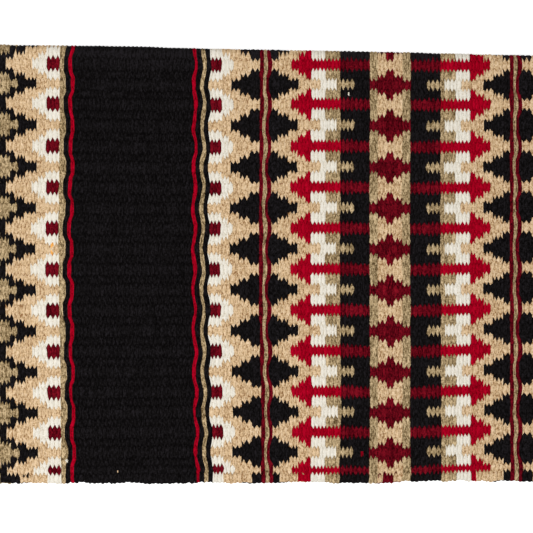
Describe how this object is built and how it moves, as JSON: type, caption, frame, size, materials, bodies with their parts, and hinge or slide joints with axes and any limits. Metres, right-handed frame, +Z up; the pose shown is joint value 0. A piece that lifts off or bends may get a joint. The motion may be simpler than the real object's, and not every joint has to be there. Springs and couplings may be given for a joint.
{
  "type": "saddle blanket",
  "caption": "Thick weft-faced wool saddle blanket, folded once along the spine, whose upper flap opens to lie over a horse's back.",
  "frame": {"origin": "under the middle of the folded blanket, on the surface that it lies on", "axes": "+X along the fold, from the end where the upper flap hangs lower to the end where it hangs less, +Y from the selvages to the fold, +Z up through the two layers"},
  "size_m": [0.8902, 0.47, 0.0163],
  "materials": {
    "black_wool": "matt hand-spun wool weft",
    "bright_red_wool": "matt hand-spun wool weft",
    "maroon_wool": "matt hand-spun wool weft",
    "tan_wool": "matt hand-spun wool weft",
    "white_wool": "matt hand-spun wool weft",
    "sage_wool": "matt hand-spun wool weft",
    "warp_wool": "undyed plied warp, hidden by the weft"
  },
  "bodies": {
    "lower_flap": {"back_diamond_column": "tan_wool", "back_left_black_column": "black_wool", "back_right_black_column": "black_wool", "back_left_sage_column": "sage_wool", "back_right_sage_column": "sage_wool", "back_left_white_column": "white_wool", "back_right_white_column": "white_wool", "back_left_cross_band": "tan_wool", "back_right_cross_band": "tan_wool", "back_left_maroon_lines": "maroon_wool", "back_right_maroon_lines": "maroon_wool", "back_left_stepped_band": "tan_wool", "back_right_stepped_band": "tan_wool", "back_left_inner_pinstripes": "bright_red_wool", "back_right_inner_pinstripes": "bright_red_wool", "back_left_black_panel": "black_wool", "back_right_black_panel": "black_wool", "back_left_outer_pinstripes": "bright_red_wool", "back_right_outer_pinstripes": "bright_red_wool", "back_left_zigzag_band": "tan_wool", "back_right_zigzag_band": "tan_wool", "back_left_end_border": "sage_wool", "back_right_end_border": "sage_wool", "back_warp": "warp_wool", "back_left_end_cord": "black_wool", "back_right_end_cord": "black_wool", "spine_fold": "black_wool", "lower_spine_warp": "warp_wool", "upper_spine_warp": "warp_wool"},
    "upper_flap": {"front_diamond_column": "tan_wool", "front_left_black_column": "black_wool", "front_right_black_column": "black_wool", "front_left_sage_column": "sage_wool", "front_right_sage_column": "sage_wool", "front_left_white_column": "white_wool", "front_right_white_column": "white_wool", "front_left_cross_band": "tan_wool", "front_right_cross_band": "tan_wool", "front_left_maroon_lines": "maroon_wool", "front_right_maroon_lines": "maroon_wool", "front_left_stepped_band": "tan_wool", "front_right_stepped_band": "tan_wool", "front_left_inner_pinstripes": "bright_red_wool", "front_right_inner_pinstripes": "bright_red_wool", "front_left_black_panel": "black_wool", "front_right_black_panel": "black_wool", "front_left_outer_pinstripes": "bright_red_wool", "front_right_outer_pinstripes": "bright_red_wool", "front_left_zigzag_band": "tan_wool", "front_right_zigzag_band": "tan_wool", "front_left_end_border": "sage_wool", "front_right_end_border": "sage_wool", "front_warp": "warp_wool", "front_left_end_cord": "black_wool", "front_right_end_cord": "black_wool"}
  },
  "joints": [
    {"name": "spine_fold_hinge", "type": "hinge", "parent": "lower_flap", "child": "upper_flap", "pos_m": [-0.00025, 0.22687, 0.00815], "axis": [-1, 0, 0], "range_deg": [0, 180], "deforming": ["spine_fold", "lower_spine_warp", "upper_spine_warp"]}
  ]
}
